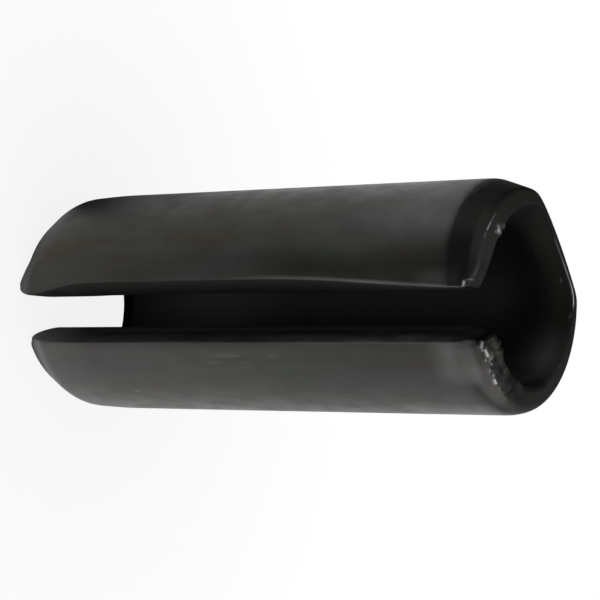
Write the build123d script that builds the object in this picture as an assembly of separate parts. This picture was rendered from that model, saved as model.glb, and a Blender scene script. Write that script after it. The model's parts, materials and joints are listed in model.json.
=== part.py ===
from build123d import *
import os
from math import asin, cos, degrees, radians, sin, tan

# A heavy slotted spring sleeve, used as a guide pin: one thick strip of spring steel, rolled into a C.
# It stands on its lower end with +Z along its axis, and the slot between its lips faces -Y.
# Sizes are in millimetres and angles in degrees, for the sleeve as it is before it is driven in.

# Barrel
free_diameter = 12.65
wall = 2.5
length = 30.25

# Slot: its width across the lips' outer edges, and the rounding of all the lips' edges
slot_width = 2.6
lip_rounding = 0.15

# The left lip's face, dressed back by hand: hinged on its inner edge, from nothing to full and back
dressing_angle = 16.4
dressing_start = 0.4
dressing_full_from = 4.6
dressing_full_to = 19.2
dressing_end = 28.9
dressing_blend = 30.0

# Lower end, swaged to a blunt nose: a faint run-in, then a soft taper, and a flared mouth inside
run_in_length = 4.1
run_in_depth = 0.13
run_in_blend = 30.0
lower_taper_length = 1.65
lower_taper_depth = 1.2
lower_taper_blend = 2.5
lower_mouth_length = 1.3
lower_mouth_depth = 0.9
lower_mouth_blend = 1.0
lower_nose_rounding = 0.12

# Upper end's taper: a crisp cone, driven on out of line with the barrel
upper_taper_length = 1.5
upper_taper_angle = 23.5
taper_lean = 6.5
taper_high_side = 35.0

# Upper end's nose: cropped out of square, sloping down outwards from the rim of a flared mouth
upper_mouth_length = 1.5
upper_mouth_depth = 1.0
upper_nose_fall = 0.28
upper_nose_rounding = 0.25
crop_lean = 2.7
crop_high_side = 82.5

# Worn flat on the far side of the upper nose
worn_flat_angle = 24.5
worn_flat_depth = 0.74
worn_flat_side = 124.5

# Corners of the lips, rounded as quarters of an ellipse: reach round the sleeve, and along it
left_lower_corner = (0.4, 0.4)
left_upper_corner = (3.2, 1.3)
right_lower_corner = (0.45, 1.0)
right_upper_corner = (0.7, 1.9)

outer_radius = free_diameter / 2
bore_radius = outer_radius - wall
slot_half_angle = degrees(asin(slot_width / 2 / outer_radius))
wrap_angle = 360 - 2 * slot_half_angle
upper_rim_radius = bore_radius + upper_mouth_depth
upper_nose_radius = outer_radius - (upper_taper_length - upper_nose_fall) * tan(radians(upper_taper_angle))
spare = 1.0  # how far the untrimmed strip runs on past the sleeve, and cutters past the strip


def rolled_strip():
    """The strip's section, with its lower end swaged, carried round the axis from lip to lip."""
    section = FilletPolyline(
        (bore_radius, length + spare),
        (bore_radius, lower_mouth_length),
        (bore_radius + lower_mouth_depth, 0),
        (outer_radius - lower_taper_depth, 0),
        (outer_radius - run_in_depth, lower_taper_length),
        (outer_radius, run_in_length),
        (outer_radius, length + spare),
        radius=[0, lower_mouth_blend, *2 * [lower_nose_rounding], lower_taper_blend, run_in_blend, 0],
        close=True,
    )
    ring = revolve(Plane.XZ * make_face(section), Axis.Z, wrap_angle)
    return Rot(Z=slot_half_angle - 90) * ring


def lip_dressing():
    """What is dressed off the left lip's face, as a slab that leans back from the lip's inner edge."""
    depth = wall * sin(radians(dressing_angle))
    plan = FilletPolyline(
        (depth, dressing_start),
        (0, dressing_full_from),
        (0, dressing_full_to),
        (depth, dressing_end),
        radius=[0, dressing_blend, dressing_blend, 0],
        close=True,
    )
    slab = extrude(Plane.XZ * make_face(plan), wall + spare)
    return Rot(Z=-slot_half_angle) * Pos(Y=-bore_radius) * Rot(Z=-dressing_angle) * slab


def corner(side, reach, height, into):
    """What a lip's rounded corner lacks, cut in along the radius.

    side is +1 for the lip towards +X, and into is +1 where the lip lies above the corner.
    """
    width, depth = reach
    block = Pos(side * width / 2, into * (depth - spare) / 2) * Rectangle(width, depth + spare)
    rounding = Pos(side * width, into * depth) * Ellipse(width, depth)
    plan = Pos(0, height) * (block - rounding)
    return Rot(Z=side * slot_half_angle) * extrude(Plane.XZ * plan, outer_radius + spare)


def upper_corner(side, reach):
    """The same at the upper end, where the rounding runs into the cropped mouth's rim."""
    azimuth = side * (slot_half_angle + degrees(reach[0] / upper_rim_radius)) - 90
    rise = upper_rim_radius * cos(radians(azimuth - crop_high_side)) * tan(radians(crop_lean))
    return corner(side, reach, length + rise, -1)


def leaning(cutter, height, high_side, angle):
    """Leans a cutter about the axis at a height, raising its high side."""
    return Pos(Z=height) * Rot(Z=high_side) * Rot(Y=-angle) * cutter


def upper_taper():
    """Everything outside the upper cone, drawn with the cone's start at height 0."""
    reach = upper_taper_length + 2 * spare
    slope = tan(radians(upper_taper_angle))
    outline = Polyline(
        (outer_radius + spare * slope, -spare),
        (outer_radius - reach * slope, reach),
        (outer_radius + spare, reach),
        (outer_radius + spare, -spare),
        close=True,
    )
    cutter = revolve(Plane.XZ * make_face(outline), Axis.Z)
    return leaning(cutter, length - upper_taper_length, taper_high_side, taper_lean)


def upper_nose():
    """Everything beyond the upper nose and mouth, drawn with the mouth's rim at height 0."""
    mouth_slope = upper_mouth_length / upper_mouth_depth
    outline = FilletPolyline(
        (0, 3 * spare),
        (0, -upper_mouth_length - spare * mouth_slope),
        (bore_radius - spare, -upper_mouth_length - spare * mouth_slope),
        (upper_rim_radius, 0),
        (upper_nose_radius, -upper_nose_fall),
        (upper_nose_radius + spare, -upper_nose_fall - spare / tan(radians(2 * upper_taper_angle))),
        (upper_nose_radius + spare, 3 * spare),
        radius=[0, 0, 0, upper_nose_rounding, upper_nose_rounding, 0, 0],
        close=True,
    )
    cutter = revolve(Plane.XZ * make_face(outline), Axis.Z)
    return leaning(cutter, length, crop_high_side, crop_lean)


def worn_flat():
    """A slice off the upper nose, sloping down and out towards the worn side."""
    reach = 2 * free_diameter
    block = Rot(Y=worn_flat_angle) * Pos(Z=reach / 2) * Box(reach, reach, reach)
    return Rot(Z=worn_flat_side) * Pos(upper_nose_radius, 0, length - worn_flat_depth) * block


strip = rolled_strip() - lip_dressing()
long_edges = strip.edges().filter_by(lambda edge: edge.bounding_box().size.Z > length / 2)
sleeve = fillet(long_edges, lip_rounding)
sleeve -= corner(-1, left_lower_corner, 0, 1)
sleeve -= corner(1, right_lower_corner, 0, 1)
sleeve -= upper_corner(-1, left_upper_corner)
sleeve -= upper_corner(1, right_upper_corner)
sleeve -= upper_taper()
sleeve -= upper_nose()
sleeve -= worn_flat()

os.makedirs("parts", exist_ok=True)
export_step(sleeve, "parts/slotted_spring_pin.step")
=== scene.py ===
import itertools
import json
import math

import bpy
import numpy as np
from mathutils import Matrix, Vector


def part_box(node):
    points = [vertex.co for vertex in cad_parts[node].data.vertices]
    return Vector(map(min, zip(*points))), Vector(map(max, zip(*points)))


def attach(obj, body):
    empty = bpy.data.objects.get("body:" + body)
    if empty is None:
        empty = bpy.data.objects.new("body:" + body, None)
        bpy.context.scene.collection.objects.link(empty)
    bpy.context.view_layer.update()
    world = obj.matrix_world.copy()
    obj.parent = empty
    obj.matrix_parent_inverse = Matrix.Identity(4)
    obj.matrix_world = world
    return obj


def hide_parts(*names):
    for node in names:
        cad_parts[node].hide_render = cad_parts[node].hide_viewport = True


# The looks of a slotted spring sleeve: a finely meshed skin in place of its solid, in black worn steel.
# Lengths are in millimetres and angles in degrees until the mesh is made. Round the axis, an angle is
# counted from the slot's middle (facing -Y) towards -X, so the left lip is at a small angle and the
# right lip near 360. An ease is how softly two surfaces run into each other.

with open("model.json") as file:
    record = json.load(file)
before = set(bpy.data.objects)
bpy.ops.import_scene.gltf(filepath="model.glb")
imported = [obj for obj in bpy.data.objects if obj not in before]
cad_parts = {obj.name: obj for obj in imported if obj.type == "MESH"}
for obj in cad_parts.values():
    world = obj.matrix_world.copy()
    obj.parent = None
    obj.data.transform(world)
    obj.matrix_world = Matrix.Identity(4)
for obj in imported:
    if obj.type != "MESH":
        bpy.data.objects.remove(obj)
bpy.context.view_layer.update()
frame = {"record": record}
MM = 0.001
NODE = "slotted_spring_pin"
mounts = {mount["name"]: mount for mount in frame["record"]["mounts"]}

# Sleeve, with its slot measured across the lips' outer edges
OUTER = mounts["barrel"]["dims"]["r_mm"]
BORE = mounts["bore"]["dims"]["r_mm"]
WALL = OUTER - BORE
MIDDLE = (OUTER + BORE) / 2
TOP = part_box(NODE)[1][2] / MM
SLOT_WIDTH = 2.6
HALF_SLOT = math.degrees(math.asin(SLOT_WIDTH / 2 / OUTER))

# Rounding of the lips' edges, and how much softer the right lip's outer edge is worn
LIP_ROUNDING, LIP_WEAR = 0.19, 0.5

# Left lip's dressed face
DRESSING_ANGLE = math.radians(16.4)
DRESSING_START, DRESSING_FULL_FROM, DRESSING_FULL_TO, DRESSING_END = 0.4, 4.6, 19.2, 28.9
DRESSING_EASE, DRESSING_HINGE_EASE = 0.3, 0.03

# Lower end, with the tip of the left lip sprung out of it
RUN_IN_LENGTH, RUN_IN_DEPTH, RUN_IN_EASE = 4.1, 0.13, 0.04
LOWER_TAPER_LENGTH, LOWER_TAPER_DEPTH, LOWER_TAPER_EASE = 1.65, 1.2, 0.37
LOWER_MOUTH_LENGTH, LOWER_MOUTH_DEPTH, LOWER_MOUTH_EASE = 1.3, 0.9, 0.15
LOWER_NOSE_ROUNDING = 0.14
SPRUNG_TIP = 0.58

# Upper end: a leaning cone with a crease worn soft on the right, a cropped nose, a flared mouth and a
# worn flat
TAPER_LENGTH, TAPER_ANGLE = 1.5, 23.5
TAPER_LEAN, TAPER_HIGH_SIDE = 6.5, 235.0
CREASE_EASE, CREASE_WEAR = 0.06, 0.3
MOUTH_LENGTH, MOUTH_DEPTH, MOUTH_EASE = 1.5, 1.0, 0.5
NOSE_FALL, NOSE_ROUNDING = 0.28, 0.25
CROP_SLOPE, CROP_HIGH_SIDE = math.tan(math.radians(2.7)), 187.5
FLAT_ANGLE, FLAT_DEPTH, FLAT_SIDE = math.radians(24.5), 0.74, 145.5
RIM = BORE + MOUTH_DEPTH
NOSE = OUTER - (TAPER_LENGTH - NOSE_FALL) * math.tan(math.radians(TAPER_ANGLE))
ROUNDED_OFF = 0.036  # what the rim's rounding takes off the sleeve's height
LENGTH = TOP - RIM * CROP_SLOPE + ROUNDED_OFF

# Corners of the lips: reach round the sleeve, and along it
LEFT_LOWER, LEFT_UPPER = (0.65, 1.3), (3.2, 1.3)
RIGHT_LOWER, RIGHT_UPPER = (0.45, 1.0), (0.7, 1.9)
LOWER_CORNER_EASE, UPPER_CORNER_EASE = 0.05, 0.12

# Mesh: rows round the wall's section, from the outside over the top, down the bore and under
OUTSIDE_ROWS, TAPER_ROWS, NOSE_ROWS, MOUTH_ROWS = 84, 38, 24, 18
BORE_ROWS, LOWER_MOUTH_ROWS, LOWER_NOSE_ROWS, LOWER_TAPER_ROWS = 40, 12, 12, 14

# Mesh: columns from lip to lip, closest together near the lips, and how softly they follow the dressed
# face; then the rings that close each lip's face, as shares of the way out from its middle
LIP_MARGIN, COLUMN_EASE = 0.22, 0.1
FINEST_STEP, FINE_FOR, STEP_GROWTH, COARSEST_STEP = 0.055, 4.8, 1.06, 0.3
LIP_RINGS = (0.985, 0.96, 0.93, 0.89, 0.84, 0.77, 0.66, 0.52, 0.36, 0.18, 0.0)
WELD_WITHIN = 0.002

# Mesh: the line within the wall that rays start from, with a dip that keeps it clear of the right lip's
# corner. Past the longest ray, and past a lip by a share of the way round, the steel has surely ended.
RAYS_FROM, RAYS_DIP, RAYS_DIP_REACH = 1.6, 1.0, 1.6
LONGEST_RAY, PAST_LIP = 4.5, 0.05
HALVINGS, RIM_ROUNDS = 30, 12


def cosd(angle):
    return np.cos(np.radians(angle))


def sind(angle):
    return np.sin(np.radians(angle))


def join(a, b, rounding):
    """The larger of two distances, with the edge between them rounded."""
    blend = np.maximum(rounding - np.abs(a - b), 0)
    return np.maximum(a, b) + blend * blend / (4 * rounding)


def smooth(low, high, x):
    """0 before low and 1 after high, eased between; runs the other way where low is the larger."""
    t = np.clip((x - low) / (high - low), 0, 1)
    return t * t * (3 - 2 * t)


def within(x, start, full_from, full_to, end):
    """1 over a stretch, eased up to it from its start and down from it to its end."""
    return smooth(start, full_from, x) * smooth(end, full_to, x)


def bell(x, middle, width):
    """1 in the middle, falling off on both sides."""
    return np.exp(-((x - middle) / width) ** 2)


def noise(x, y, z):
    """Smooth noise from -1 to 1 with a cell of one unit, the same on every run."""
    cell = [np.floor(axis).astype(np.int64) for axis in (x, y, z)]
    ease = [smooth(0, 1, axis - low) for axis, low in zip((x, y, z), cell)]
    total = 0.0
    for i, j, k in itertools.product((0, 1), repeat=3):
        seed = (cell[0] + i) * 73856093 ^ (cell[1] + j) * 19349663 ^ (cell[2] + k) * 83492791
        seed = (seed ^ (seed >> 13)) * 1274126177 & 0x7FFFFFFF
        seed = (seed ^ (seed >> 15)) * 1103515245 & 0x7FFFFFFF
        weight = 1.0
        for step, t in zip((i, j, k), ease):
            weight = weight * (t if step else 1 - t)
        total = total + weight * (seed / 0x3FFFFFFF - 1)
    return total


def crease_height(angle):
    """Where the leaning cone starts on the barrel."""
    return LENGTH - TAPER_LENGTH + OUTER * sind(TAPER_LEAN) * cosd(angle - TAPER_HIGH_SIDE)


def crop_height(r, angle):
    """Height of the plane that the upper end is cropped along."""
    return LENGTH + r * CROP_SLOPE * cosd(angle - CROP_HIGH_SIDE)


def rim_height(angle):
    """Height of the cropped mouth's rim."""
    return crop_height(RIM, angle)


def flat_height(r, angle):
    """Height of the worn flat's plane."""
    return LENGTH - FLAT_DEPTH - math.tan(FLAT_ANGLE) * (r * cosd(angle - FLAT_SIDE) - NOSE)


def worn_rim(angle):
    """Radius and height of the mouth's rim, where the worn flat has lowered it too."""
    r = RIM
    for _ in range(RIM_ROUNDS):
        z = np.minimum(rim_height(angle), flat_height(r, angle))
        r = RIM + (z - rim_height(angle)) * MOUTH_DEPTH / MOUTH_LENGTH
    return r, z


def sprung_tip(angle):
    """How far the left lip's lower tip has sprung out of the swaged nose."""
    return SPRUNG_TIP * smooth(40, 12, angle)


def outer_wall(r, angle, z):
    """Distance outside the barrel, its lower taper and its upper cone."""
    deepest = LOWER_TAPER_DEPTH - sprung_tip(angle)
    taper = deepest - z * (deepest - RUN_IN_DEPTH) / LOWER_TAPER_LENGTH
    run_in = RUN_IN_DEPTH * (RUN_IN_LENGTH - z) / (RUN_IN_LENGTH - LOWER_TAPER_LENGTH)
    drop = join(join(taper, run_in, LOWER_TAPER_EASE), 0.0, RUN_IN_EASE)
    slope = np.tan(np.radians(TAPER_ANGLE + TAPER_LEAN * cosd(angle - TAPER_HIGH_SIDE)))
    ease = CREASE_EASE + CREASE_WEAR * smooth(230, 300, angle)
    drop = join(drop, (z - crease_height(angle)) * slope, ease)
    return r - OUTER + drop


def inner_wall(r, angle, z):
    """Distance into the hollow from the bore and its two flared mouths."""
    lower = (1 - z / LOWER_MOUTH_LENGTH) * (LOWER_MOUTH_DEPTH + sprung_tip(angle))
    upper = (z - rim_height(angle) + MOUTH_LENGTH) * MOUTH_DEPTH / MOUTH_LENGTH
    return BORE + join(join(lower, 0.0, LOWER_MOUTH_EASE), upper, MOUTH_EASE) - r


def off_left_face(r, angle):
    """Distance into the sleeve from the left lip's radial face, and on from its inner edge."""
    turn = np.minimum(angle - HALF_SLOT, 90)
    return r * sind(turn), r * cosd(turn) - BORE


def off_right_face(r, angle):
    """Distance into the sleeve from the right lip's radial face."""
    return r * sind(np.minimum(360 - HALF_SLOT - angle, 90))


def dressing_offset(z):
    """How far the dressed face stands clear of the lip's inner edge at each height."""
    depth = WALL * math.sin(DRESSING_ANGLE)
    start = (DRESSING_FULL_FROM - z) / (DRESSING_FULL_FROM - DRESSING_START)
    end = (z - DRESSING_FULL_TO) / (DRESSING_END - DRESSING_FULL_TO)
    return depth * join(join(start, 0.0, DRESSING_EASE), end, DRESSING_EASE)


def corner_cut(inside, along, reach):
    """A quarter of an ellipse off a lip's corner: inside and along are measured from the corner."""
    width, depth = reach
    u = 1 - inside / width
    v = np.maximum(1 - along / depth, 0)
    return (np.sqrt(np.maximum(u, 0) ** 2 + v * v) - 1 + np.minimum(u, 0)) * min(width, depth)


def upper_end(r, angle, z):
    """Distance beyond the cropped nose, the worn flat and the lips' upper corners."""
    nose = z - crop_height(r, angle) + NOSE_FALL * (r - RIM) / (NOSE - RIM)
    flat = z - flat_height(r, angle)
    end = join(nose, flat * math.cos(FLAT_ANGLE), UPPER_CORNER_EASE)
    left, _ = off_left_face(r, angle)
    left_height = rim_height(HALF_SLOT + math.degrees(LEFT_UPPER[0] / RIM))
    end = join(end, corner_cut(left, left_height - z, LEFT_UPPER), UPPER_CORNER_EASE)
    right = off_right_face(r, angle)
    right_height = rim_height(-HALF_SLOT - math.degrees(RIGHT_UPPER[0] / RIM))
    return join(end, corner_cut(right, right_height - z, RIGHT_UPPER), UPPER_CORNER_EASE)


def lips(r, angle, z):
    """Distance out of the two lips' faces, with their lower corners."""
    inside, on = off_left_face(r, angle)
    dressed = on * math.sin(DRESSING_ANGLE) - inside * math.cos(DRESSING_ANGLE) - dressing_offset(z)
    left = join(-inside, dressed, DRESSING_HINGE_EASE)
    left = join(left, corner_cut(inside, z, LEFT_LOWER), LOWER_CORNER_EASE)
    inside = off_right_face(r, angle)
    return np.maximum(left, join(-inside, corner_cut(inside, z, RIGHT_LOWER), LOWER_CORNER_EASE))


def sleeve(r, angle, z):
    """Roughly the distance outside the sleeve's surface, negative within its steel."""
    walls = np.maximum(outer_wall(r, angle, z), inner_wall(r, angle, z))
    body = join(walls, -z, LOWER_NOSE_ROUNDING)
    body = join(body, upper_end(r, angle, z), NOSE_ROUNDING)
    worn = smooth(180, 300, angle) * smooth(BORE, OUTER, r)
    return join(body, lips(r, angle, z), LIP_ROUNDING + LIP_WEAR * worn)


def graded_steps(length):
    """Places along a length, closest together for a stretch at both ends."""
    half, here, step = [0.0], 0.0, FINEST_STEP
    while here < length / 2:
        here += step
        half.append(here)
        step = FINEST_STEP if here < FINE_FOR else min(step * STEP_GROWTH, COARSEST_STEP)
    half = np.array(half) * length / 2 / half[-1]
    return np.concatenate([half, (length - half[:-1])[::-1]])


def evenly(start, end, count):
    """Each column's values from start towards end, evenly spaced; the end is left out."""
    return start[:, None] + (end - start)[:, None] * np.linspace(0, 1, count, endpoint=False)


def fan(start, end, count):
    """Each column's angles from start towards end, closest together at both; the end is left out."""
    t = np.linspace(0, 1, count, endpoint=False)
    start, end = np.reshape(start, (-1, 1)), np.reshape(end, (-1, 1))
    return start + (end - start) * (0.5 - 0.5 * np.cos(np.pi * t))


def left_face_angle(r, z):
    """Angle of the left lip's face, dressed or not."""
    inside = ((r - BORE) * math.sin(DRESSING_ANGLE) - dressing_offset(z)) / math.cos(DRESSING_ANGLE)
    return HALF_SLOT + np.degrees(np.arcsin(join(inside, 0.0, COLUMN_EASE) / r))


def angle_at(share, r, z):
    """Angle of a column, where share runs from 0 on the left lip's face to 1 on the right lip's."""
    left = left_face_angle(r, z)
    return left + (360 - HALF_SLOT - left) * share


def rays(share):
    """Start height and direction (r, z) of each column's rays, once round the wall's section."""
    angle = angle_at(share, MIDDLE, LENGTH)
    to_right_lip = (1 - share) * 2 * math.pi * OUTER
    low = np.full_like(share, RAYS_FROM)
    high = crease_height(angle) - RAYS_DIP * bell(to_right_lip, 0, RAYS_DIP_REACH)
    nose_height = np.minimum(rim_height(angle) - NOSE_FALL, flat_height(NOSE, angle))
    to_nose = np.arctan2(nose_height - high, NOSE - MIDDLE)
    rim_r, rim_z = worn_rim(angle)
    to_rim = np.arctan2(rim_z - high, rim_r - MIDDLE)
    sprung = sprung_tip(angle)
    to_lower_rim = np.arctan2(-low, BORE + LOWER_MOUTH_DEPTH + sprung - MIDDLE) + 2 * math.pi
    to_lower_nose = np.arctan2(-low, OUTER - LOWER_TAPER_DEPTH + sprung - MIDDLE) + 2 * math.pi
    up = evenly(low, high, OUTSIDE_ROWS)
    over = np.concatenate([
        fan(0.0, to_nose, TAPER_ROWS),
        fan(to_nose, to_rim, NOSE_ROWS),
        fan(to_rim, math.pi, MOUTH_ROWS),
    ], axis=1)
    down = evenly(high, low, BORE_ROWS)
    under = np.concatenate([
        fan(math.pi, to_lower_rim, LOWER_MOUTH_ROWS),
        fan(to_lower_rim, to_lower_nose, LOWER_NOSE_ROWS),
        fan(to_lower_nose, 2 * math.pi, LOWER_TAPER_ROWS),
    ], axis=1)
    turn = np.concatenate([0 * up, over, 0 * down + math.pi, under], axis=1)
    height = np.concatenate([up, high[:, None] + 0 * over, down, low[:, None] + 0 * under], axis=1)
    return height, np.cos(turn), np.sin(turn)


def end_of_steel(near, far, place):
    """How far the steel reaches, found by halving: near is inside it at every place, and far outside."""
    for _ in range(HALVINGS):
        halfway = (near + far) / 2
        outside = sleeve(*place(halfway)) > 0
        far = np.where(outside, halfway, far)
        near = np.where(outside, near, halfway)
    return (near + far) / 2


def shoot(share, height, dr, dz):
    """How far each ray runs from the middle of the wall before it leaves the steel."""
    def place(reach):
        r, z = MIDDLE + reach * dr, height + reach * dz
        return r, angle_at(share[:, None], r, z), z

    return end_of_steel(np.zeros_like(height), np.full_like(height, LONGEST_RAY), place)


def cap_angle(r, z, inside, beyond):
    """Angle where the steel ends past a lip's last column, between two shares."""
    def place(share):
        return r, angle_at(share, r, z), z

    return angle_at(end_of_steel(np.full_like(r, inside), np.full_like(r, beyond), place), r, z)


def skin():
    """Radii, angles and heights of the rings round the wall's section, in order from lip to lip."""
    around = 2 * math.pi * OUTER * (360 - 2 * HALF_SLOT) / 360
    share = (LIP_MARGIN + graded_steps(around - 2 * LIP_MARGIN)) / around
    height, dr, dz = rays(share)
    reach = shoot(share, height, dr, dz)
    r, z = MIDDLE + reach * dr, height + reach * dz
    columns = list(zip(r, angle_at(share[:, None], r, z), z))
    left, right = [], []
    for t in LIP_RINGS:
        for rings, side, beyond in ((left, 0, -PAST_LIP), (right, -1, 1 + PAST_LIP)):
            ring_r = MIDDLE + t * reach[side] * dr[side]
            ring_z = height[side] + t * reach[side] * dz[side]
            rings.append((ring_r, cap_angle(ring_r, ring_z, share[side], beyond), ring_z))
    return left[::-1] + columns + right


def place_of(r, angle, z):
    """Points in space, from their radius, angle and height."""
    return np.stack([-r * sind(angle), -r * cosd(angle), z], axis=-1)


def nose_edge(r, angle, z):
    """How far a point lies from the upper nose's outer edge."""
    return np.hypot(r - NOSE, z - (crop_height(NOSE, angle) - NOSE_FALL))


def line(start, end, count):
    """Places spaced evenly from one (radius, angle, height) to another."""
    return [tuple(place) for place in np.linspace(start, end, count)]


# Marks of rough cutting and wear, as (radius, angle, height): on the left lip and nose, on the mouth's
# rim and in the bore, on the right lip's torn nose, and on the barrel
LIP_SPECK = line((6.02, 13.9, 29.05), (6.0, 15.9, 29.07), 5)
LIP_ARC = line((5.97, 16.6, 29.18), (5.86, 17.1, 29.37), 7)
LIP_ARC += line((5.82, 17.1, 29.4), (5.7, 16.9, 29.47), 4)
NOSE_NICK = [(5.17, 52.3, 29.98), (5.14, 51.4, 29.99), (5.1, 50.6, 29.99), (5.1, 49.8, 29.99)]
NICK_CRUMBS = [(5.0, 49.0, 30.0), (5.19, 47.8, 29.95)]
NICK_LIP = [(4.92, 50.5, 30.02), (4.9, 56.0, 30.03)]
NOSE_SCRATCH = line((5.7, 45.0, 29.75), (5.67, 50.5, 29.785), 18)
SCRATCH_TAILS = line((5.73, 40.5, 29.72), (5.7, 45.0, 29.75), 14)
SCRATCH_TAILS += line((5.67, 50.5, 29.785), (5.64, 57.8, 29.82), 20)
RIM_FLECKS = [(4.42, 176.9, 29.87), (4.74, 201.7, 30.31), (4.87, 239.4, 30.33)]
SLOT_FLECK = [(5.21, 16.4, 13.74)]
BORE_SCRATCH = line((BORE, 182.6, 14.3), (BORE, 185.1, 15.1), 8)
CHIPS = line((5.58, 345.0, 29.67), (5.86, 342.4, 29.72), 5)
GOUGE = line((5.66, 338.9, 29.81), (5.5, 333.8, 29.83), 7)
CRUMBS = [(5.84, 341.0, 29.78), (5.6, 330.6, 29.8), (5.75, 323.4, 29.79)]
CRUMBS += [(5.8, 321.2, 29.75), (5.83, 319.4, 29.71)]
NUB = [(5.0, 343.8, 29.82)]
NUB_FOOT = [(4.76, 338.5, 29.95), (4.7, 332.5, 29.93)]
NUB_SIDES = [(4.82, 341.5, 30.25), (5.13, 332.5, 30.05)]
PIT = [(6.32, 46.8, 26.2)]
LIGHT_SPOTS = [(6.32, 312.5, 24.9), (6.32, 313.2, 27.0), (6.32, 314.3, 7.1)]


def spots(points, centres, size):
    """1 at each centre, falling off to nothing at about twice its size."""
    share = 0.0
    for centre in centres:
        off = points - place_of(*np.array(centre, float))
        share = np.maximum(share, np.exp(-np.sum(off * off, axis=-1) / size ** 2))
    return share


def grain(points, cell, shift=0.0):
    """Noise over points in space, with cells of a size in millimetres."""
    return noise(*np.moveaxis(points / cell + shift, -1, 0))


def drawn(points, squeeze):
    """Points squeezed along the axis, so that noise over them is drawn out along it."""
    return points * np.array([1.0, 1.0, squeeze])


def torn_nose(r, angle, z):
    """Share of the rough, torn metal on the right lip's nose and its mouth's rim."""
    across = smooth(BORE + 0.4, RIM - 0.1, r) * smooth(NOSE + 0.2, NOSE, r)
    return smooth(272, 318, angle) * smooth(LENGTH - 1.7, LENGTH - 1.1, z) * across


def lumps(points):
    """Lumps and hollows of torn metal, from about -0.1 to 0.1 millimetres."""
    return 0.08 * grain(points, 0.55, 0.2) + 0.035 * grain(points, 0.25)


def relief(r, angle, z):
    """How far the real surface stands out from the true form, in millimetres."""
    points = place_of(r, angle, z)
    streaks = drawn(points, 0.12)
    wavy = 0.004 * (grain(streaks, 1.7) - 1) + 0.002 * (grain(streaks, 0.6) - 1)
    burr = 0.07 * bell(nose_edge(r, angle, z), 0, 0.07) * smooth(300, 318, angle)
    burr = burr * (0.6 + grain(points, 0.24))
    rolled_in = np.exp(-((r - RIM) ** 2 + (z - rim_height(angle)) ** 2) / 0.07) * smooth(296, 318, angle)
    marks = 0.0
    for centres, size, height in (
        (CHIPS + GOUGE + CRUMBS, 0.1, 0.04),
        (NOSE_NICK + LIP_SPECK, 0.08, 0.03),
        (NOSE_SCRATCH, 0.05, 0.015),
        (PIT, 0.12, -0.03),
        (NUB, 0.27, 0.2),
        (NUB_FOOT, 0.27, 0.18),
        (NICK_LIP, 0.25, 0.12),
    ):
        marks = marks + height * spots(points, centres, size)
    torn = torn_nose(r, angle, z) * lumps(points)
    return (wavy + torn + burr + 0.1 * rolled_in + marks) * smooth(0.0, 1.2, z)


def lift(r, angle, z):
    """Moves the skin's points out or in by their relief, square to the surface."""
    step = 0.02
    turn = math.degrees(step) / r
    out = np.stack([
        sleeve(r + step, angle, z) - sleeve(r - step, angle, z),
        sleeve(r, angle + turn, z) - sleeve(r, angle - turn, z),
        sleeve(r, angle, z + step) - sleeve(r, angle, z - step),
    ])
    out = out / np.maximum(np.linalg.norm(out, axis=0), 1e-9)
    height = relief(r, angle, z)
    return r + height * out[0], angle + np.degrees(height * out[1] / r), z + height * out[2]


def on_outside(r, angle, z):
    """Share of the sleeve's outside, clear of the bore and the lips' faces."""
    return smooth(0.4, 0.1, -outer_wall(r, angle, z))


def in_bore(r, angle, z):
    """Share of the bore and the two mouths."""
    return smooth(0.14, 0.02, -inner_wall(r, angle, z))


def lip_face(r, angle, z):
    """Share of a lip's face, well inside its outer edge."""
    return smooth(0.12, 0.02, -lips(r, angle, z)) * smooth(0.05, 0.3, -outer_wall(r, angle, z))


def right_half(angle):
    """1 on the right lip's side of the sleeve, 0 on the left lip's."""
    return smooth(180, 190, angle)


def bare_marks(points):
    """Share of bare steel in the chips, scratches and specks."""
    uneven = 0.3 + 0.7 * smooth(-0.4, 0.3, grain(points, 0.13, 0.4))
    share = 0.0
    for centres, size, strength in (
        (CHIPS, 0.08, 1.0),
        (LIP_SPECK, 0.05, 1.0),
        (NOSE_NICK, 0.075, 1.0),
        (NICK_CRUMBS, 0.05, 0.6),
        (NOSE_NICK + NICK_LIP, 0.16, 0.12),
        (GOUGE, 0.15, 0.9 * uneven),
        (CRUMBS, 0.08, 0.8 * uneven),
        (LIP_ARC, 0.03, 0.3),
        (NOSE_SCRATCH, 0.032, 0.95),
        (SCRATCH_TAILS, 0.028, 0.35 * uneven),
        (RIM_FLECKS, 0.045, 0.14),
        (SLOT_FLECK, 0.05, 0.5),
        (BORE_SCRATCH, 0.04, 0.06),
        (LIGHT_SPOTS, 0.06, 0.12),
    ):
        share = np.maximum(share, strength * spots(points, centres, size))
    return share


def rim_highlight(r, angle, z):
    """Share of a painted highlight: the bright line along the far side of the mouth's rim."""
    to_rim = -np.minimum(inner_wall(r, angle, z), upper_end(r, angle, z))
    line_share = smooth(0.1, 0.068, to_rim) * smooth(LENGTH - 1.0, LENGTH - 0.8, z)
    strength = 0.25 + 0.3 * smooth(162, 167, angle) + 0.45 * smooth(178, 183, angle)
    return strength * line_share * within(angle, 142, 150, 194, 197)


def face_painted_light(r, angle, z):
    """Share of painted light on the right lip's face: most by its outer edge and towards its lower end.
    """
    depth = -outer_wall(r, angle, z)
    higher = (0.38 * smooth(16.0, 20.0, z) + 0.4 * smooth(20.5, 23.5, z)) * smooth(28.4, 27.6, z)
    face = (0.09 + 0.04 * smooth(18.0, 22.0, z)) * smooth(2.1, 1.6, depth)
    face = face + (0.27 + higher) * smooth(1.4, 0.2, depth) + 0.4 * smooth(4.5, 0.5, z)
    face = face * (1 - 0.6 * smooth(0.3, 0.12, depth)) * smooth(0.25, 0.05, -lips(r, angle, z))
    return face * right_half(angle) * (1 - in_bore(r, angle, z))


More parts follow.
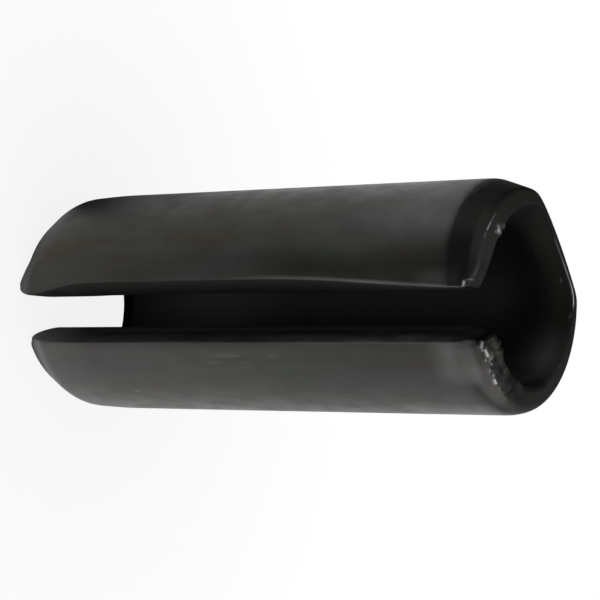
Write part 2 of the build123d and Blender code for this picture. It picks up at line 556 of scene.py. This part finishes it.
def bare_and_painted_highlight(r, angle, z):
    """Share of bright steel: bare marks and burr; painted highlights on the rim, feet, a corner and the
    right lip's face.
    """
    points = place_of(r, angle, z)
    burr = 0.55 * bell(nose_edge(r, angle, z), 0, 0.08) * smooth(312, 334, angle)
    burr = burr * smooth(-0.1, 0.6, grain(points, 0.16, 0.5))
    # Painted highlights along the lower nose's edge, and at the right lip's upper corner
    left_foot = 0.06 * smooth(1.2, 0.5, z) * smooth(45, 28, angle)
    right_foot = 0.26 * smooth(1.8, 1.1, z) * smooth(294, 310, angle)
    corner = 0.06 * within(z, 27.5, 28.1, 28.9, 29.4) * within(angle, 334, 342, 345, 346.5)
    painted_highlights = (left_foot + right_foot + corner) * on_outside(r, angle, z)
    return np.maximum.reduce([
        bare_marks(points), burr, rim_highlight(r, angle, z), painted_highlights, face_painted_light(r, angle, z)])


def inner(r, angle, z):
    """Share of the dull black of the bore and the lips' faces, rubbed off towards the lower end."""
    rubbed_off = 0.9 * smooth(6.0, 0.5, z)
    return np.maximum(in_bore(r, angle, z), lip_face(r, angle, z) * (1 - rubbed_off))


def painted_shade_outside(r, angle, z):
    """Share of the painted shade outside: by both lips, along the far side and at the upper crease."""
    points = place_of(r, angle, z)
    patches = grain(drawn(points, 0.3), 1.1, 0.7)
    reach = angle + 3 * grain(points, 2.6) + 3 * patches
    high = smooth(15.0, 20.0, z)
    lip = (0.1 * smooth(1.0, 1.8, z) + 0.3 * smooth(4.0, 9.0, z) + 0.42 * high) * (1 + 0.2 * patches)
    lip = lip * smooth(46 - 4 * high, 27 - 4 * high, reach) * smooth(30.8, 27.5, z)
    lip = lip * (1 - 0.7 * smooth(24, 14, angle) * within(z, 15.0, 18.0, 20.0, 22.0))
    by_slot = (0.68 - 0.4 * smooth(17.5, 22.5, z)) * smooth(0.7 - 0.4 * high, 0.05, -lips(r, angle, z))
    by_slot = by_slot * smooth(270, 300, angle)
    far = 0.95 * within(angle, 55, 82, 100, 125) * smooth(23.0, 5.0, z)
    middle = 0.16 * bell(z, 17, 4) * within(angle, 35, 45, 76, 88)
    from_crease = z - crease_height(angle)
    corner = 0.75 * smooth(-0.35, -0.1, from_crease) * smooth(29.45, 29.15, z) * smooth(48, 34, angle)
    band = bell(from_crease, 0.03, 0.24) * within(angle, 285, 298, 318, 335)
    shade_share = np.maximum.reduce([lip, by_slot, far, middle, corner, band])
    return shade_share * on_outside(r, angle, z) * (1 - lip_face(r, angle, z))


def painted_shade(r, angle, z):
    """Share of the darkest painted shade: outside, in the upper mouth, at the nose and along the inner
    edge.
    """
    points = place_of(r, angle, z)
    mouth = (1 - 0.85 * smooth(200, 235, angle)) * smooth(LENGTH - 4.5, LENGTH - 1.5, z)
    mouth = mouth * (1 - bell(angle, 236, 12) * bell(z, 29.6, 0.55)) * in_bore(r, angle, z)
    over_rim = smooth(5.2, 5.0, r) * within(angle, 256, 266, 288, 300) * smooth(29.7, 29.95, z)
    # Painted shade in the hollows of the torn metal
    hollows = 0.8 * torn_nose(r, angle, z) * smooth(0.01, -0.04, lumps(points))
    nose_line = 0.5 * bell(nose_edge(r, angle, z), 0, 0.06) * within(angle, 52, 60, 90, 105)
    nub = 0.75 * spots(points, NUB + NUB_FOOT + NUB_SIDES, 0.32)
    inner_edge = 0.9 * smooth(0.9, 0.4, -inner_wall(r, angle, z)) * smooth(0.3, 0.1, -lips(r, angle, z))
    inner_edge = inner_edge * right_half(angle) * smooth(4.0, 7.0, z)
    return np.maximum.reduce([
        painted_shade_outside(r, angle, z), mouth, over_rim, hollows, nose_line, nub, inner_edge])


def scuffs(r, angle, z):
    """Share of the light scuffs along the right side of the slot, in a band that leans."""
    band = bell(angle - 0.5 * (z - 14.5), 338, 2.2) * within(z, 12.4, 13.4, 16.6, 18.0)
    return band * smooth(0.0, 0.7, grain(drawn(place_of(r, angle, z), 0.2), 0.22))


def wear_and_painted_light_outside(r, angle, z):
    """Share of painted light outside, on the right, the left's upper half and the ends, and of real
    scuffs.
    """
    side = smooth(250, 320, angle) * (1 - 0.55 * smooth(8.0, 22.0, z))
    side = side + smooth(240, 300, angle) * smooth(6.0, 1.0, z)
    left_top = smooth(36, 50, angle) * (0.14 * smooth(13.0, 21.0, z) + 0.46 * smooth(21.0, 27.0, z))
    left_top = left_top + 0.6 * smooth(60, 80, angle) * smooth(18.0, 25.0, z)
    past_crease = z - crease_height(angle) - 0.38 * smooth(55, 75, angle)
    left_top = left_top * smooth(125, 100, angle) * smooth(0.1, -0.1, past_crease)
    right_top = 0.75 * within(z, 26.5, 28.0, 29.1, 29.5) * smooth(318, 332, angle)
    low_edge = 0.62 * within(z, 22.0, 26.0, 28.6, 29.2) * within(angle, 262, 275, 299, 309)
    tip = 0.7 * smooth(1.3, 0.3, z) * smooth(66, 48, angle)
    paler = 0.35 * side + left_top + right_top + low_edge + tip + 0.6 * scuffs(r, angle, z)
    return paler * on_outside(r, angle, z)


def painted_light_in_bore(r, angle, z):
    """Share of painted light in the bore's lower half and low in the upper mouth."""
    mouth = 0.35 * bell(angle, 238, 14) * bell(z, 29.5, 0.6)
    mouth = mouth + 0.4 * bell(angle, 250, 16) * bell(z, 28.8, 1.3)
    return (0.75 * smooth(14.0, 6.0, z) + mouth) * in_bore(r, angle, z)


def wear_and_painted_light(r, angle, z):
    """Share of the paler steel, mostly painted light with some real scuffs: the left lip's outer edge,
    and parts of the barrel and ends.
    """
    points = place_of(r, angle, z)
    to_edge = np.maximum(-outer_wall(r, angle, z), -lips(r, angle, z))
    # A painted highlight along the left lip's outer edge
    edge = smooth(0.24, 0.04, to_edge) * smooth(40, 20, angle) * smooth(13.0, 23.0, z)
    edge = edge * (0.7 + 0.25 * grain(points, 1.3) + 0.3 * smooth(21.0, 25.0, z)) * smooth(29.3, 28.9, z)
    edge = edge + 0.2 * within(z, 26.0, 27.6, 28.6, 29.0) * smooth(24, 17, angle)
    nose = 0.3 * smooth(29.1, 29.35, z) * within(angle, 22, 36, 50, 70) * (1 - in_bore(r, angle, z))
    face = lip_face(r, angle, z) * (0.1 + 0.5 * right_half(angle))
    # Painted highlight on the tops of the torn metal's lumps
    tops = 0.3 * torn_nose(r, angle, z) * smooth(0.02, 0.06, lumps(points))
    share = edge + wear_and_painted_light_outside(r, angle, z) + nose + face + painted_light_in_bore(r, angle, z) + tops
    return np.clip(share, 0, 1)


def pin_mesh():
    """The skin as a closed mesh, in metres, with the shares that its steel is painted by."""
    rings = skin()
    count = len(rings[0][0])
    r, angle, z = (np.array(values).ravel() for values in zip(*rings))
    shares = {share.__name__: share(r, angle, z) for share in (bare_and_painted_highlight, inner, painted_shade, wear_and_painted_light)}
    points = place_of(*lift(r, angle, z)) * MM
    faces = []
    for ring in range(0, (len(rings) - 1) * count, count):
        for i in range(count):
            j = (i + 1) % count
            faces.append((ring + i, ring + j, ring + count + j, ring + count + i))
    mesh = bpy.data.meshes.new("sleeve_skin")
    mesh.from_pydata(points.tolist(), [], faces)
    for name, share in shares.items():
        mesh.attributes.new(name, "FLOAT", "POINT").data.foreach_set("value", share.astype(np.float32))
    mesh.validate()
    return mesh


def weld(piece):
    """Joins the points that meet along the middle of each lip's face."""
    merge = piece.modifiers.new("weld", "WELD")
    merge.merge_threshold = WELD_WITHIN * MM
    bpy.context.view_layer.objects.active = piece
    piece.select_set(True)
    bpy.ops.object.modifier_apply(modifier="weld")
    bpy.ops.object.mode_set(mode="EDIT")
    bpy.ops.mesh.select_all(action="SELECT")
    bpy.ops.mesh.normals_make_consistent(inside=False)
    bpy.ops.object.mode_set(mode="OBJECT")
    bpy.ops.object.shade_smooth()


def make_pin():
    """The sleeve's skin, in place of its solid."""
    piece = bpy.data.objects.new("sleeve_skin", pin_mesh())
    bpy.context.collection.objects.link(piece)
    weld(piece)
    piece.data.materials.append(black_steel())
    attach(piece, "root")
    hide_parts(NODE)


def node(tree, kind, inputs=None, **settings):
    """Adds a shader node, sets it up, and links or sets its inputs."""
    made = tree.nodes.new(kind)
    for name, value in settings.items():
        setattr(made, name, value)
    for name, value in (inputs or {}).items():
        if isinstance(value, bpy.types.NodeSocket):
            tree.links.new(value, made.inputs[name])
        else:
            made.inputs[name].default_value = value
    return made


def maths(tree, operation, a, b):
    """Two values joined by an operation."""
    return node(tree, "ShaderNodeMath", {0: a, 1: b}, operation=operation).outputs[0]


def vector_maths(tree, operation, *values):
    """The vector that an operation on vectors gives."""
    made = node(tree, "ShaderNodeVectorMath", dict(enumerate(values)), operation=operation)
    return made.outputs["Vector"]


def measure(tree, operation, *values):
    """The number that an operation on vectors gives."""
    made = node(tree, "ShaderNodeVectorMath", dict(enumerate(values)), operation=operation)
    return made.outputs["Value"]


def ramp(tree, value, low, high, start, end):
    """A value carried from low..high to start..end, and held beyond them."""
    return node(tree, "ShaderNodeMapRange", {
        "Value": value, "From Min": low, "From Max": high, "To Min": start, "To Max": end}).outputs[0]


def spread(tree, vector, scale, detail, low, high):
    """Noise stretched so that most of it runs from low to high."""
    made = node(tree, "ShaderNodeTexNoise", {"Vector": vector, "Scale": scale, "Detail": detail})
    return ramp(tree, made.outputs["Fac"], 0.32, 0.68, low, high)


def mixed(tree, share, a, b):
    """A share of colour b mixed into colour a, by the sockets that a mix of colours uses."""
    return node(tree, "ShaderNodeMix", {0: share, 6: a, 7: b}, data_type="RGBA").outputs[2]


def share_of(tree, name):
    """One of the shares that the mesh is painted by."""
    return node(tree, "ShaderNodeAttribute", attribute_name=name).outputs["Fac"]


def tone(level, red=0.0, blue=0.0):
    """A grey with a little more or less red and blue."""
    return (level * (1 + red), level, level * (1 + blue), 1)


def unrolled(tree, squeeze):
    """The place on the unrolled sleeve, in millimetres: round it, outwards, and along it, squeezed."""
    place = node(tree, "ShaderNodeTexCoord").outputs["Object"]
    axes = node(tree, "ShaderNodeSeparateXYZ", {"Vector": place})
    turn = maths(tree, "ARCTAN2", axes.outputs["X"], axes.outputs["Y"])
    out = measure(tree, "LENGTH", vector_maths(tree, "MULTIPLY", place, (1, 1, 0)))
    joined = node(tree, "ShaderNodeCombineXYZ", {"X": turn, "Y": out, "Z": axes.outputs["Z"]})
    return vector_maths(tree, "MULTIPLY", joined.outputs[0], (OUTER, 1 / MM, squeeze / MM))


# The steel's own two greys, the tints in patches over them, and the colour of each painted share
DARK_STEEL, PALE_STEEL = tone(0.042, 0, -0.08), tone(0.055, 0, -0.07)
BROWN, GREEN, VIOLET = tone(0.038, 0.23, -0.36), tone(0.052, -0.22, -0.23), tone(0.05, 0.14, 0.3)
# Painted shade is darker than the steel, painted light paler, and bare steel and painted highlights
# brightest
PAINTED = (
    ("inner", tone(0.045, 0, -0.06)),
    ("painted_shade", tone(0.015, 0.03, -0.08)),
    ("wear_and_painted_light", tone(0.12, 0, -0.03)),
    ("bare_and_painted_highlight", tone(0.75)),
)
INNER_ROUGHNESS = 0.6


def black_steel():
    """Black worn steel: streaked, tinted in patches, and painted by the mesh's shares, with wear, painted
    shade and painted light.
    """
    material = bpy.data.materials.new("black_steel")
    material.use_nodes = True
    tree = material.node_tree
    shader = tree.nodes["Principled BSDF"]
    streaks, patches, even = unrolled(tree, 0.06), unrolled(tree, 0.25), unrolled(tree, 0.7)
    colour = mixed(tree, spread(tree, streaks, 0.8, 4.0, 0, 1), DARK_STEEL, PALE_STEEL)
    colour = mixed(tree, spread(tree, patches, 0.5, 4.0, -0.5, 0.7), colour, BROWN)
    colour = mixed(tree, spread(tree, even, 0.33, 3.0, -0.7, 0.6), colour, GREEN)
    colour = mixed(tree, spread(tree, patches, 0.35, 2.0, -0.8, 0.5), colour, VIOLET)
    for name, paint in PAINTED:
        colour = mixed(tree, share_of(tree, name), colour, paint)
    tree.links.new(colour, shader.inputs["Base Color"])
    rough = maths(tree, "MAXIMUM", spread(tree, even, 1.2, 4.0, 0.4, 0.5), share_of(tree, "inner"))
    tree.links.new(maths(tree, "MINIMUM", rough, INNER_ROUGHNESS), shader.inputs["Roughness"])
    shader.inputs["Metallic"].default_value = 1.0
    fine = spread(tree, even, 7.0, 4.0, 0, 1)
    bump = node(tree, "ShaderNodeBump", {"Height": fine, "Strength": 0.2, "Distance": 0.02 * MM})
    tree.links.new(bump.outputs["Normal"], shader.inputs["Normal"])
    return material


# Camera: as the photograph, which lies on its side. The angles are those of the sleeve's front.
CAMERA_AZIMUTH, CAMERA_ELEVATION, CAMERA_ROLL = -8.18, 31.15, -89.21
CAMERA_DISTANCE, CAMERA_AIM = 111.6, (0.03, 0, 15.8)
LENS, NEAREST_SEEN = 118.4, 5


def make_camera():
    """The photograph's camera."""
    data = bpy.data.cameras.new("camera")
    data.lens = LENS
    data.clip_start = NEAREST_SEEN * MM
    camera = bpy.data.objects.new("camera", data)
    bpy.context.collection.objects.link(camera)
    azimuth, elevation = math.radians(CAMERA_AZIMUTH), math.radians(CAMERA_ELEVATION)
    back = Vector((
        math.sin(azimuth) * math.cos(elevation),
        -math.cos(azimuth) * math.cos(elevation),
        math.sin(elevation),
    ))
    upright = (-back).to_track_quat("-Z", "Y").to_matrix().to_4x4()
    place = Vector(CAMERA_AIM) + back * CAMERA_DISTANCE
    roll = Matrix.Rotation(math.radians(CAMERA_ROLL), 4, "Z")
    camera.matrix_world = Matrix.Translation(place * MM) @ upright @ roll.inverted()
    bpy.context.scene.camera = camera


# Surroundings: which way the far side lies, from where on it is dark (beside the sleeve and behind it,
# as the cosine of the angle off that way) and how softly that starts; and the world's light
FAR_SIDE = Vector((-0.35, 0.94, 0)).normalized()
BESIDE, BEHIND, DARK_EASE = 0.1, 0.55, 0.3
WORLD_LIGHT, WORLD_DARK = 0.25, 0.03

# Floor, with stretches of the distance from the sleeve's foot: where it turns white to the camera, and
# where steel mirrors it darker: a painted shadow at the foot, and painted dark reflections beside the
# sleeve, behind it and far behind it
FLOOR_RADIUS, FLOOR_SIDES = 90, 96
WHITENS = (6, 34)
PAINTED_FOOT_SHADOW = (0.78 * OUTER, 1.12 * OUTER)
DARK_BESIDE, DARK_BEHIND, DARK_FAR_BEHIND = (10, 16), (9, 26), (54, 84)
DARKEST, WHITE_NEAR, MIRRORED_AT_FOOT = 0.95, 0.87, 0.04


def far_side(tree, place, edge):
    """Share of the far side's dark: 1 well past an edge, by the direction from the sleeve's foot."""
    flat = vector_maths(tree, "MULTIPLY", place, (1, 1, 0))
    facing = measure(tree, "DOT_PRODUCT", vector_maths(tree, "NORMALIZE", flat), FAR_SIDE)
    return ramp(tree, facing, edge, edge + DARK_EASE, 0.0, 1.0)


def by_distance(tree, away, stretch, start, end):
    """A value that goes from start to end over a stretch of the distance from the sleeve's foot."""
    return ramp(tree, away, stretch[0] * MM, stretch[1] * MM, start, end)


def glow(tree, strength):
    """White light of a strength."""
    return node(tree, "ShaderNodeEmission", {"Color": (1, 1, 1, 1), "Strength": strength}).outputs[0]


def floor_shader(tree, own):
    """Pale in its own light, white to the camera further out, and white where steel mirrors it.

    What steel mirrors falls off close to the sleeve, as a painted shadow at its foot and painted dark
    reflections beside and behind it, and in the distance on its far side, also as a painted dark
    reflection.
    """
    place = node(tree, "ShaderNodeTexCoord").outputs["Object"]
    away = measure(tree, "LENGTH", place)
    path = node(tree, "ShaderNodeLightPath").outputs
    direct = maths(tree, "MAXIMUM", path["Is Camera Ray"], path["Is Transmission Ray"])
    in_view = maths(tree, "MULTIPLY", direct, by_distance(tree, away, WHITENS, WHITE_NEAR, 1.0))
    shown = node(tree, "ShaderNodeMixShader", {0: in_view, 1: own, 2: glow(tree, 1.0)}).outputs[0]
    near = by_distance(tree, away, DARK_BEHIND, DARKEST, 0.0)
    distant = by_distance(tree, away, DARK_FAR_BEHIND, 0.0, DARKEST)
    behind = maths(tree, "MULTIPLY", far_side(tree, place, BEHIND), maths(tree, "MAXIMUM", near, distant))
    closest = by_distance(tree, away, DARK_BESIDE, DARKEST, 0.0)
    beside = maths(tree, "MULTIPLY", far_side(tree, place, BESIDE), closest)
    kept = maths(tree, "SUBTRACT", 1.0, maths(tree, "MAXIMUM", behind, beside))
    foot_shadow = by_distance(tree, away, PAINTED_FOOT_SHADOW, MIRRORED_AT_FOOT, 1.0)
    mirrored = glow(tree, maths(tree, "MULTIPLY", foot_shadow, kept))
    return node(tree, "ShaderNodeMixShader", {0: path["Is Glossy Ray"], 1: shown, 2: mirrored}).outputs[0]


def make_floor():
    """A round pale table top; what lies beyond it is as white to the camera."""
    turns = [2 * math.pi * side / FLOOR_SIDES for side in range(FLOOR_SIDES)]
    rim = [(FLOOR_RADIUS * MM * math.cos(turn), FLOOR_RADIUS * MM * math.sin(turn), 0) for turn in turns]
    mesh = bpy.data.meshes.new("floor")
    mesh.from_pydata(rim, [], [range(len(rim))])
    floor = bpy.data.objects.new("floor", mesh)
    bpy.context.collection.objects.link(floor)
    material = bpy.data.materials.new("pale_floor")
    material.use_nodes = True
    tree = material.node_tree
    own = tree.nodes["Principled BSDF"]
    own.inputs["Base Color"].default_value = (0.85, 0.85, 0.85, 1)
    own.inputs["Roughness"].default_value = 0.9
    own.inputs["Specular IOR Level"].default_value = 0.1
    tree.links.new(floor_shader(tree, own.outputs[0]), tree.nodes["Material Output"].inputs["Surface"])
    mesh.materials.append(material)


def make_world():
    """Even, dim light from all round, darker low down on the far side; plain white to the camera."""
    world = bpy.data.worlds.new("world")
    bpy.context.scene.world = world
    world.use_nodes = True
    tree = world.node_tree
    sky = tree.nodes["Background"]
    sky.inputs["Color"].default_value = (1, 1, 1, 1)
    towards = node(tree, "ShaderNodeTexCoord").outputs["Generated"]
    height = node(tree, "ShaderNodeSeparateXYZ", {"Vector": towards}).outputs["Z"]
    low = ramp(tree, height, 0.15, 0.5, 1.0, 0.0)
    dark = maths(tree, "MULTIPLY", far_side(tree, towards, BEHIND), low)
    tree.links.new(ramp(tree, dark, 0, 1, WORLD_LIGHT, WORLD_DARK), sky.inputs["Strength"])
    seen = node(tree, "ShaderNodeLightPath").outputs["Is Camera Ray"]
    white = node(tree, "ShaderNodeBackground", {"Color": (1, 1, 1, 1), "Strength": 1.0})
    mix = node(tree, "ShaderNodeMixShader", {0: seen, 1: sky.outputs[0], 2: white.outputs[0]})
    tree.links.new(mix.outputs[0], tree.nodes["World Output"].inputs["Surface"])


def softbox(name, direction, distance, size, brightness):
    """A square lamp of a given brightness, where 1 is a white surface's in full light."""
    data = bpy.data.lights.new(name, "AREA")
    data.shape = "SQUARE"
    data.size = size * MM
    data.energy = brightness * math.pi * data.size ** 2
    lamp = bpy.data.objects.new(name, data)
    bpy.context.collection.objects.link(lamp)
    aim = Vector((0, 0, LENGTH / 2)) * MM
    lamp.location = aim + Vector(direction).normalized() * distance * MM
    lamp.rotation_euler = (aim - lamp.location).to_track_quat("-Z", "Y").to_euler()


make_pin()
make_floor()
make_world()
softbox("right", direction=(0.88, -0.1, 0.3), distance=260, size=280, brightness=1.4)
softbox("top", direction=(0.1, -0.35, 0.93), distance=300, size=220, brightness=1.5)
make_camera()

bpy.context.scene.view_settings.view_transform = "Standard"
